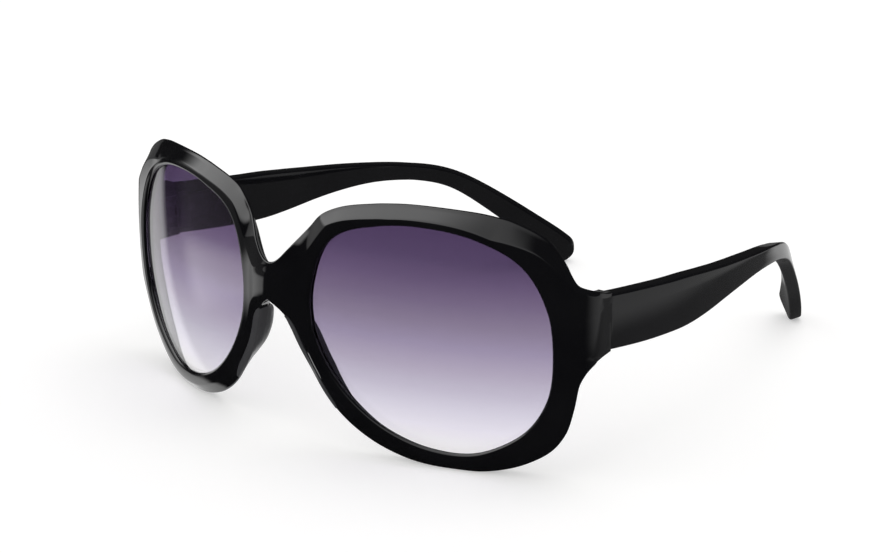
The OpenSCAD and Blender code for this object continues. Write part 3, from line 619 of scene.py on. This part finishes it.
# Nose pads
def pad_corners(a, w, outer):
    """Corners of the pad's section, as distances from the opening and depths behind the front."""
    reach = PAD_REACH * curve(PAD_SHARES, a)
    root = PAD_GAP + np.max([depth(opening(a, s * w)[0]) for s in np.linspace(0, 1, 5)], axis=0)
    inner = w * PAD_ROOT
    edge_out = w * curve(PAD_EDGE, a)
    edge_in = np.maximum(inner, edge_out - PAD_EDGE_W)
    soft = (edge_out - edge_in) / 4
    return ([(outer + (edge_out - outer) * q, root + reach * t) for q, t in PAD_SIDES]
            + [(edge_out - soft, root + reach), (edge_in + soft, root + reach)]
            + [(inner + (edge_in - inner) * q, root + reach * t) for q, t in PAD_SIDES[::-1]])


def pad_skin(a, w, outer, root):
    """Satin skin over the outer part of the rim's slope and its side, back to the pad's root."""
    slope = BEVEL_D * curve(BEVEL, a)
    crest = np.maximum(w * curve(CREST, a), 1.2 * LENS_RECESS)
    back = depth(opening(a, w)[0])
    wall = slope + (back - slope) * WALL_SHARE
    grown = np.clip(np.minimum((a - a[0]) / SKIN_GROWTH[0], (a[-1] - a) / SKIN_GROWTH[1]), 0, 1)
    grown = np.sqrt(grown * (2 - grown))
    first, run, over = 1 - SKIN_SHARE * grown, w - crest, 1.6 * SKIN_T
    # Its inner edge lies under the slope's surface and the rest above it
    cols = [(crest + run * first, slope * first + SKIN_T)]
    for q in (0.04, 0.3, 0.6, 0.93):
        s = first + (1 - first) * q
        cols.append((crest + run * s, slope * s - SKIN_T))
    cols += [(w + SKIN_T, slope + 0.15), (w + over, wall),
             ((w + outer) / 2 + over, (wall + back) / 2), (outer + over, back)]
    # Its ends rise out of the rim at the pad's own root
    rise = np.minimum(1, 3 * grown)
    return [tuple(k + (p - k) * rise for p, k in zip(c, root)) for c in cols]


def rounded_corners(keys):
    """Curves round all corners but the first and last, through the middles of the sides."""
    cols = [keys[0]]
    last = len(keys) - 1
    for i in range(1, last):
        before = [(p + q) / 2 for p, q in zip(keys[i - 1], keys[i])] if i > 1 else keys[0]
        after = [(p + q) / 2 for p, q in zip(keys[i], keys[i + 1])] if i < last - 1 else keys[last]
        cols += [bent(before, keys[i], after, w) for w in (0.2, 0.4, 0.6, 0.8, 1)]
    return cols


def make_pad(name, side):
    """A fin-shaped nose pad with rounded edges, glued behind the rim."""
    a = np.linspace(PAD_SHARES[0][0], PAD_SHARES[-1][0], 91)
    w = free_width(a)
    outer = w - RIM_W * curve(TAPER, a)
    keys = pad_corners(a, w, outer)
    cols = pad_skin(a, w, outer, keys[0]) + rounded_corners(keys)
    grid = np.stack([on_front(*opening(a, q), t) for q, t in cols], 1)
    return add_mesh(name, *tube(grid, side))


# Shader nodes
def new_material(name):
    """New material, its node tree, and its principled shader and output."""
    mat = bpy.data.materials.new(name)
    mat.use_nodes = True
    nt = mat.node_tree
    nt.nodes.clear()
    out = nt.nodes.new("ShaderNodeOutputMaterial")
    bsdf = nt.nodes.new("ShaderNodeBsdfPrincipled")
    nt.links.new(bsdf.outputs["BSDF"], out.inputs["Surface"])
    return mat, nt, bsdf, out


def noise(nt, scale, detail, rough=0.5, stretch=None):
    """Noise in the coordinates of the object."""
    coords = nt.nodes.new("ShaderNodeTexCoord")
    node = nt.nodes.new("ShaderNodeTexNoise")
    node.inputs["Scale"].default_value = scale
    node.inputs["Detail"].default_value = detail
    node.inputs["Roughness"].default_value = rough
    place = coords.outputs["Object"]
    if stretch:
        mapping = nt.nodes.new("ShaderNodeMapping")
        mapping.inputs["Scale"].default_value = stretch
        nt.links.new(place, mapping.inputs["Vector"])
        place = mapping.outputs["Vector"]
    nt.links.new(place, node.inputs["Vector"])
    return node.outputs["Fac"]


def mapped(nt, value, start, end, low=0.0, high=1.0, smooth=False):
    """A value's range from start to end, turned into one from low to high."""
    node = nt.nodes.new("ShaderNodeMapRange")
    if smooth:
        node.interpolation_type = "SMOOTHSTEP"
    for key, number in zip(("From Min", "From Max", "To Min", "To Max"), (start, end, low, high)):
        node.inputs[key].default_value = number
    nt.links.new(value, node.inputs["Value"])
    return node.outputs["Result"]


def ramp_up(nt, value, start, end, low=0.0, high=1.0):
    """Smooth step of a value from one level to another."""
    return mapped(nt, value, start, end, low, high, smooth=True)


def angle_ramp(nt, angle, start, end, low=0.0, high=1.0):
    """Smooth step between two angles, given in degrees."""
    return ramp_up(nt, angle, math.radians(start), math.radians(end), low, high)


def coloured(nt, source, stops):
    """Colours through stops of a position and a colour."""
    ramp = nt.nodes.new("ShaderNodeValToRGB")
    elements = ramp.color_ramp.elements
    for element, (at, colour) in zip(elements, (stops[0], stops[-1])):
        element.position, element.color = at, (*colour, 1)
    for at, colour in stops[1:-1]:
        elements.new(at).color = (*colour, 1)
    nt.links.new(source, ramp.inputs["Fac"])
    return ramp.outputs["Color"]


def joined(nt, operation, a, b):
    """Math node on two values, each an output socket or a number."""
    node = nt.nodes.new("ShaderNodeMath")
    node.operation = operation
    for i, value in enumerate((a, b)):
        if isinstance(value, (int, float)):
            node.inputs[i].default_value = value
        else:
            nt.links.new(value, node.inputs[i])
    return node.outputs[0]


def product(nt, first, *others):
    """Product of values, each an output socket or a number."""
    for value in others:
        first = joined(nt, "MULTIPLY", first, value)
    return first


def axes(nt, coordinates):
    """The X, Y and Z of a kind of coordinates."""
    coords = nt.nodes.new("ShaderNodeTexCoord")
    split = nt.nodes.new("ShaderNodeSeparateXYZ")
    nt.links.new(coords.outputs[coordinates], split.inputs["Vector"])
    return [split.outputs[axis] for axis in "XYZ"]


def mixed(nt, share, first, second):
    """Mix of two shaders, with the share of the second."""
    mix = nt.nodes.new("ShaderNodeMixShader")
    for i, source in enumerate((share, first, second)):
        nt.links.new(source, mix.inputs[i])
    return mix.outputs["Shader"]


def bump(nt, bsdf, height, strength, distance):
    """Bumps of a shader, from heights."""
    node = nt.nodes.new("ShaderNodeBump")
    node.inputs["Strength"].default_value = strength
    node.inputs["Distance"].default_value = distance
    nt.links.new(height, node.inputs["Height"])
    nt.links.new(node.outputs["Normal"], bsdf.inputs["Normal"])


# Materials
# Refractive index of the plastics, and the range of the noises that is used
IOR = 1.5
NOISE_LOW, NOISE_HIGH = 0.3, 0.7
# Height of the lens's uppermost tint in metres, and its colours from the table up
TINT_TOP = 0.058
LENS_STOPS = [(0.08, (1, 0.99, 1)), (0.16, (0.9, 0.87, 0.96)), (0.24, (0.74, 0.71, 0.82)),
              (0.32, (0.58, 0.54, 0.66)), (0.4, (0.46, 0.41, 0.53)), (0.49, (0.34, 0.29, 0.42)),
              (0.57, (0.255, 0.21, 0.31)), (0.65, (0.19, 0.145, 0.24)),
              (0.735, (0.135, 0.095, 0.183)), (0.82, (0.09, 0.06, 0.13)), (0.9, (0.075, 0.048, 0.111))]


def tint_and_gloss(nt, bsdf, tint, gloss, low, high, rough):
    """Colour between two tints and roughness between two levels, each by a noise."""
    nt.links.new(coloured(nt, tint, ((NOISE_LOW, low), (NOISE_HIGH, high))), bsdf.inputs["Base Color"])
    nt.links.new(mapped(nt, gloss, NOISE_LOW, NOISE_HIGH, *rough), bsdf.inputs["Roughness"])


def plastic(name, low, high, rough):
    """Moulded plastic with faint flow marks."""
    mat, nt, bsdf, _ = new_material(name)
    tint_and_gloss(nt, bsdf, noise(nt, 60, 4), noise(nt, 900, 3), low, high, rough)
    bump(nt, bsdf, noise(nt, 150, 1), 0.06, 0.0002)
    bsdf.inputs["IOR"].default_value = IOR
    return mat


def metal(name, low, high, rough, stretch):
    """Black-plated metal with a fine grain."""
    mat, nt, bsdf, _ = new_material(name)
    bsdf.inputs["Metallic"].default_value = 1
    brushed = noise(nt, 1500, 4, 0.6, stretch)
    tint_and_gloss(nt, bsdf, brushed, brushed, low, high, rough)
    bump(nt, bsdf, brushed, 0.15, 0.00005)
    return mat


def lens_glass():
    """Clear plastic whose tint fades with its height, and that lets tinted light through."""
    mat, nt, bsdf, out = new_material("lens_tint")
    height = axes(nt, "Object")[2]
    tint = coloured(nt, mapped(nt, height, 0.0, TINT_TOP), LENS_STOPS)
    nt.links.new(tint, bsdf.inputs["Base Color"])
    bsdf.inputs["Transmission Weight"].default_value = 1
    bsdf.inputs["IOR"].default_value = IOR
    bsdf.inputs["Specular IOR Level"].default_value = 0.2
    rough = mapped(nt, noise(nt, 400, 2), NOISE_LOW, NOISE_HIGH, 0.0, 0.012)
    nt.links.new(rough, bsdf.inputs["Roughness"])
    # For shadows a lens is a clear tinted sheet, since solid glass would cast dark ones
    clear = nt.nodes.new("ShaderNodeBsdfTransparent")
    nt.links.new(tint, clear.inputs["Color"])
    light = nt.nodes.new("ShaderNodeLightPath")
    shader = mixed(nt, light.outputs["Is Shadow Ray"], bsdf.outputs["BSDF"], clear.outputs["BSDF"])
    nt.links.new(shader, out.inputs["Surface"])
    return mat


FRAME_PLASTIC = plastic("frame_plastic", (0.004, 0.004, 0.005), (0.007, 0.007, 0.008), (0.03, 0.07))
PAD_PLASTIC = plastic("pad_plastic", (0.058, 0.058, 0.062), (0.072, 0.072, 0.077), (0.3, 0.4))
HINGE_METAL = metal("hinge_metal", (0.1, 0.1, 0.105), (0.14, 0.14, 0.145), (0.3, 0.42), (1, 0.2, 1))
SCREW_STEEL = metal("screw_steel", (0.17, 0.17, 0.175), (0.23, 0.23, 0.235), (0.25, 0.38), (1, 1, 1))
LENS_TINT = lens_glass()


# Pieces
def dress(piece, body, material, slot, *nodes):
    """Gives a piece its material and its body, and hides the CAD nodes that it replaces; its slot is
    not used.
    """
    # Rounding in the curves stays inside the CAD's box
    for v in piece.data.vertices:
        v.co = Vector([min(max(c, low), high) for c, low, high in zip(v.co, *CAD_BOX)])
    piece.data.materials.clear()
    piece.data.materials.append(material)
    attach(piece, body)
    if nodes:
        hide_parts(*nodes)


def dress_metal(piece, material):
    """Material and finely bevelled edges for a CAD piece that stays."""
    for slot in piece.material_slots:
        slot.link = "OBJECT"
        slot.material = material
    edge = piece.modifiers.new("edges", "BEVEL")
    edge.width = METAL_BEVEL * MM
    edge.segments = 2
    edge.limit_method = "ANGLE"
    edge.angle_limit = math.radians(METAL_BEVEL_ANGLE)


dress(make_front(), "front", FRAME_PLASTIC, "frame_plastic", "front_frame")
for name, side in (("left", -1), ("right", 1)):
    dress(make_lens(f"lens_{name}_glass", side), "front", LENS_TINT, "lens_tint", f"lens_{name}")
    dress(make_pad(f"pad_{name}", side), "front", PAD_PLASTIC, "pad_plastic", f"nose_pad_{name}")
    dress(make_temple(f"temple_{name}_arm", side), f"{name}_temple", FRAME_PLASTIC,
          "frame_plastic", f"temple_{name}")
for node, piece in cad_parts.items():
    if not piece.hide_render:
        dress_metal(piece, SCREW_STEEL if "screw" in node else HINGE_METAL)

# Surroundings: places and sizes in metres, angles in degrees and strengths of light
# In the object's gloss the table is a painted reflection: dark, with glowing highlights laid out from
# a place near the bridge
FLOOR_HALF_W, FLOOR_GLOW, PAINTED_DARK_REFLECTION = 6, 0.36, 0.01
PAINTED_HIGHLIGHT_FROM = (-0.012, -0.072)
WORLD_LIGHT, DARK_ROOM, ROOM_GREY = 0.75, 0.02, 0.8


def painted_table_reflection(nt):
    """Painted reflection of the table in the object's gloss: dark, with a pale sheet and dim sides
    that glow as painted highlights.
    """
    x, y, _ = axes(nt, "Object")
    # Angle and distance from a place near the bridge; 0 is straight ahead and negative is left
    from_x = joined(nt, "ADD", x, -PAINTED_HIGHLIGHT_FROM[0])
    from_y = product(nt, joined(nt, "ADD", y, -PAINTED_HIGHLIGHT_FROM[1]), -1)
    way = joined(nt, "ARCTAN2", from_x, from_y)
    squares = joined(nt, "ADD", product(nt, from_x, from_x), product(nt, from_y, from_y))
    reach = joined(nt, "SQRT", squares, 0)
    # Painted highlights: a pale sheet near the bridge and a patch far left, which glow only in the
    # object's gloss
    right_edge = angle_ramp(nt, way, -46, -54)
    left_edge = angle_ramp(nt, way, -90, -80, 0.06, 1)
    near_edge = ramp_up(nt, reach, 0.06, 0.1)
    far_edge = ramp_up(nt, reach, 0.2, 0.14, 0.12, 1)
    sheet = product(nt, right_edge, left_edge, near_edge, far_edge)
    far_left = product(nt, angle_ramp(nt, way, -95, -100), ramp_up(nt, y, 0.02, -0.02))
    # Painted highlights that glow beside the right temple, and behind the tips
    slant = joined(nt, "ADD", x, product(nt, y, 0.35))
    beside = product(nt, ramp_up(nt, slant, 0.132, 0.15, 0.12, 0.42), ramp_up(nt, y, -0.06, 0.03))
    behind = product(nt, ramp_up(nt, y, 0.08, 0.11, 0, 0.8),
                     ramp_up(nt, x, -0.03, 0), ramp_up(nt, x, 0.075, 0.05))
    sheets = joined(nt, "MAXIMUM", sheet, far_left)
    sides = joined(nt, "MAXIMUM", beside, behind)
    return joined(nt, "ADD", joined(nt, "MAXIMUM", sheets, sides), PAINTED_DARK_REFLECTION)


def make_floor():
    """A white table with the object's shadow, which shows a painted reflection in the object's gloss.
    """
    w = FLOOR_HALF_W
    mesh = bpy.data.meshes.new("floor")
    mesh.from_pydata([(-w, -w, 0), (w, -w, 0), (w, w, 0), (-w, w, 0)], [], [(0, 1, 2, 3)])
    floor = bpy.data.objects.new("floor", mesh)
    bpy.context.scene.collection.objects.link(floor)
    mat, nt, bsdf, out = new_material("floor")
    bsdf.inputs["Base Color"].default_value = (0.8, 0.795, 0.79, 1)
    bsdf.inputs["Roughness"].default_value = 0.9
    bsdf.inputs["Specular IOR Level"].default_value = 0
    path = nt.nodes.new("ShaderNodeLightPath")
    camera_ray, glossy_ray, through_lens = (
        path.outputs[kind] for kind in ("Is Camera Ray", "Is Glossy Ray", "Is Transmission Ray"))
    glow = nt.nodes.new("ShaderNodeEmission")
    nt.links.new(product(nt, joined(nt, "MAXIMUM", camera_ray, through_lens), FLOOR_GLOW),
                 glow.inputs["Strength"])
    white = nt.nodes.new("ShaderNodeAddShader")
    nt.links.new(bsdf.outputs["BSDF"], white.inputs[0])
    nt.links.new(glow.outputs["Emission"], white.inputs[1])
    # For mirror rays the table shows its painted reflection in place of its white
    shown = nt.nodes.new("ShaderNodeEmission")
    nt.links.new(painted_table_reflection(nt), shown.inputs["Strength"])
    mirrored = product(nt, glossy_ray, joined(nt, "SUBTRACT", 1, through_lens))
    shader = mixed(nt, mirrored, white.outputs["Shader"], shown.outputs["Emission"])
    nt.links.new(shader, out.inputs["Surface"])
    mesh.materials.append(mat)


def room_in_gloss(nt):
    """Brightness of the room in the object's gloss: dark, with one soft window and a dim strip."""
    x, y, z = axes(nt, "Generated")
    # 0 is straight ahead of the front and negative is left; z is the sine of the height's angle
    way = joined(nt, "ARCTAN2", x, product(nt, y, -1))
    left_edge, right_edge = angle_ramp(nt, way, -92, -76), angle_ramp(nt, way, 42, 24)
    sill, top = ramp_up(nt, z, 0.2, 0.31), ramp_up(nt, z, 0.97, 0.9)
    brightness = angle_ramp(nt, way, -30, 30, 3.4, 1.1)
    window = product(nt, left_edge, right_edge, sill, top, brightness)
    # A dim strip below the window on the left
    strip = product(nt, angle_ramp(nt, way, -88, -76), angle_ramp(nt, way, -44, -54, 0, 0.8),
                    ramp_up(nt, z, 0.31, 0.2))
    return joined(nt, "ADD", joined(nt, "ADD", window, strip), DARK_ROOM)


def background(nt, grey, strength):
    """Background of a grey, whose strength is a number or an output socket."""
    node = nt.nodes.new("ShaderNodeBackground")
    node.inputs["Color"].default_value = (grey, grey, grey, 1)
    if isinstance(strength, (int, float)):
        node.inputs["Strength"].default_value = strength
    else:
        nt.links.new(strength, node.inputs["Strength"])
    return node.outputs["Background"]


def make_world():
    """World that lights softly, is white for the camera and has its own look in the gloss."""
    world = bpy.data.worlds.new("studio")
    bpy.context.scene.world = world
    world.use_nodes = True
    nt = world.node_tree
    nt.nodes.clear()
    out = nt.nodes.new("ShaderNodeOutputWorld")
    path = nt.nodes.new("ShaderNodeLightPath")
    light, white = background(nt, 1, WORLD_LIGHT), background(nt, 1, 1)
    gloss = background(nt, ROOM_GREY, room_in_gloss(nt))
    unseen = mixed(nt, path.outputs["Is Glossy Ray"], light, gloss)
    seen = joined(nt, "MAXIMUM", path.outputs["Is Camera Ray"], path.outputs["Is Transmission Ray"])
    nt.links.new(mixed(nt, seen, unseen, white), out.inputs["Surface"])


# Lamp: size, distance and target in metres, angles in degrees
LAMP_AZIMUTH, LAMP_ELEVATION, LAMP_DISTANCE, LAMP_W, LAMP_RADIANCE = 150, 78, 1.4, 0.9, 1.2
LAMP_TARGET = (0, -0.03, 0.03)

# Camera as fitted to the photograph: angles in degrees, distance in metres, target in design
# millimetres, and focal length and principal point in pixels
AZIMUTH, ELEVATION, ROLL, DISTANCE = 42.536, 16.987, -0.332, 0.5555
TARGET_Y, TARGET_Z = 41.452, 30.561
IMAGE_W, IMAGE_H, FOCAL, CENTRE_X, CENTRE_Y = 893, 553, 2405.9, 400.86, 265.52
SENSOR_W = 36


def away(azimuth, elevation):
    """Direction from the object; an azimuth of 0 is in front of it."""
    a, e = math.radians(azimuth), math.radians(elevation)
    return Vector((math.sin(a) * math.cos(e), -math.cos(a) * math.cos(e), math.sin(e)))


def aimed(name, data, target, direction, distance, roll=0.0):
    """Lamp or camera that looks at a target from a distance in a direction."""
    item = bpy.data.objects.new(name, data)
    item.location = target + direction * distance
    item.rotation_mode = "QUATERNION"
    item.rotation_quaternion = (direction.to_track_quat("Z", "Y")
                                @ Quaternion((0, 0, 1), math.radians(roll)))
    bpy.context.scene.collection.objects.link(item)
    return item


def make_lamp():
    """One soft lamp overhead, which the gloss doesn't mirror."""
    data = bpy.data.lights.new("top_box", "AREA")
    data.shape = "RECTANGLE"
    data.size, data.size_y = LAMP_W, LAMP_W
    data.energy = LAMP_RADIANCE * math.pi * LAMP_W * LAMP_W
    lamp = aimed("top_box", data, Vector(LAMP_TARGET), away(LAMP_AZIMUTH, LAMP_ELEVATION),
                 LAMP_DISTANCE)
    lamp.visible_glossy = False


def make_camera():
    """Camera at the photograph's viewing angle."""
    data = bpy.data.cameras.new("camera")
    data.sensor_width = SENSOR_W
    data.lens = FOCAL / IMAGE_W * SENSOR_W
    data.shift_x = (IMAGE_W / 2 - CENTRE_X) / IMAGE_W
    data.shift_y = (CENTRE_Y - IMAGE_H / 2) / IMAGE_W
    data.clip_start, data.clip_end = 0.01, 50
    target = Vector((0, (TARGET_Y + SHIFT_Y) * MM, TARGET_Z * MM))
    bpy.context.scene.camera = aimed("camera", data, target, away(AZIMUTH, ELEVATION), DISTANCE, ROLL)


make_floor()
make_world()
make_lamp()
make_camera()
bpy.context.scene.view_settings.view_transform = "Standard"
